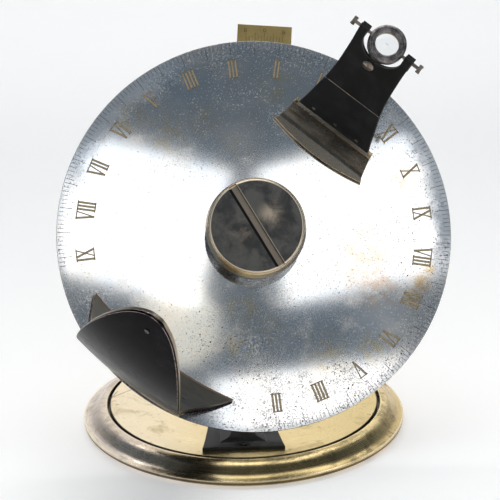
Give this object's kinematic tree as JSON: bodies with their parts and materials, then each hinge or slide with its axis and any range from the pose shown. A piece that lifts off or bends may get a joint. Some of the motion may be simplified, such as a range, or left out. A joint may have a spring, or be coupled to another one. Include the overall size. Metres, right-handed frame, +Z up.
{
  "type": "heliochronometer",
  "caption": "Heliochronometer: silvered hour disc with lens sight and curved screen, turning on a tilted polar axis over a black flared pedestal on a round brass base.",
  "frame": {"origin": "middle of the base's flat underside", "axes": "+Z up; the dial faces -Y and leans back towards +Y at the top; +X is to the viewer's right when facing the dial"},
  "size_m": [0.195, 0.2768, 0.2188],
  "materials": {
    "brass_base": "old polished brass, spotted and finely scratched",
    "base_felt": "dense felt pad",
    "black_iron": "black japanned, satin with gloss edges",
    "black_lacquer": "black lacquer on brass, worn to metal at the edges",
    "silvered": "silvered face, speckled, brass showing where worn",
    "brass_fittings": "lacquered brass, darkened",
    "steel_parts": "turned steel, slightly browned",
    "leather_washer": "oiled leather friction washer",
    "lens_crown": "clear polished crown glass"
  },
  "bodies": {
    "base": {"base_plate": "brass_base", "base_pad": "base_felt"},
    "turntable": {"turntable_plate": "brass_base", "azimuth_stud": "steel_parts", "azimuth_spring_washer": "steel_parts", "azimuth_lock_nut": "brass_fittings", "pedestal_slab": "black_iron", "pedestal_column": "black_iron", "pedestal_screws": "steel_parts", "slab_screws": "steel_parts", "latitude_quadrant": "silvered", "quadrant_screws": "steel_parts", "pivot_bolt": "steel_parts", "pivot_friction_washer": "leather_washer", "pivot_flat_washer": "steel_parts"},
    "wing_nut": {"clamp_wing_nut": "brass_fittings"},
    "arm": {"bearing_arm": "black_iron", "latitude_index": "black_lacquer", "index_pin": "steel_parts", "polar_spindle": "steel_parts", "thrust_washer": "brass_fittings", "friction_spring": "brass_fittings", "spindle_nut": "steel_parts", "vernier_clamp_screws": "steel_parts"},
    "vernier": {"vernier_arm": "black_lacquer", "vernier_plate": "brass_fittings", "vernier_plate_screws": "steel_parts"},
    "hour_circle": {"hour_disc": "silvered", "hub_drum": "brass_fittings", "hub_drum_screws": "steel_parts", "hub_cap": "black_lacquer", "bracket_foot": "black_lacquer", "bracket_foot_screws": "steel_parts", "bracket_leaf": "black_lacquer", "bracket_rivets": "steel_parts", "leaf_boss_screw": "steel_parts", "fork_block_left": "black_lacquer", "fork_block_right": "black_lacquer", "screen_shell": "black_lacquer", "screen_liner": "silvered", "screen_rivets": "steel_parts", "screen_foot": "black_lacquer", "screen_foot_screws": "steel_parts"},
    "lens": {"lens_ring": "brass_fittings", "lens_glass": "lens_crown", "lens_retaining_ring": "brass_fittings"},
    "left_pivot_screw": {"pivot_screw_left": "steel_parts"},
    "right_pivot_screw": {"pivot_screw_right": "steel_parts"}
  },
  "joints": [
    {"name": "azimuth_turn", "type": "hinge", "parent": "base", "child": "turntable", "pos_m": [0, 0, 0.01], "axis": [0, 0, 1], "continuous": true},
    {"name": "latitude_tilt", "type": "hinge", "parent": "turntable", "child": "arm", "pos_m": [0.0063, 0.0202, 0.088], "axis": [-1, 0, 0], "range_deg": [0, 40]},
    {"name": "clamp_nut_turn", "type": "hinge", "parent": "turntable", "child": "wing_nut", "pos_m": [0.0185, 0.0202, 0.088], "axis": [1, 0, 0], "range_deg": [0, 180]},
    {"name": "vernier_adjust", "type": "hinge", "parent": "arm", "child": "vernier", "pos_m": [0.0063, -0.01023, 0.10317], "axis": [0, -0.8949, 0.4462], "range_deg": [-8, 8]},
    {"name": "hour_turn", "type": "hinge", "parent": "arm", "child": "hour_circle", "pos_m": [0.0063, -0.01023, 0.10317], "axis": [0, -0.8949, 0.4462], "continuous": true},
    {"name": "lens_swivel", "type": "hinge", "parent": "hour_circle", "child": "lens", "pos_m": [0.06549, -0.05276, 0.20613], "axis": [0.7721, -0.2836, -0.5688], "continuous": true},
    {"name": "left_pivot_screw_turn", "type": "hinge", "parent": "hour_circle", "child": "left_pivot_screw", "pos_m": [0.05468, -0.04879, 0.21409], "axis": [0.7721, -0.2836, -0.5688], "range_deg": [-180, 180]},
    {"name": "right_pivot_screw_turn", "type": "hinge", "parent": "hour_circle", "child": "right_pivot_screw", "pos_m": [0.0763, -0.05673, 0.19816], "axis": [0.7721, -0.2836, -0.5688], "range_deg": [-180, 180]}
  ]
}
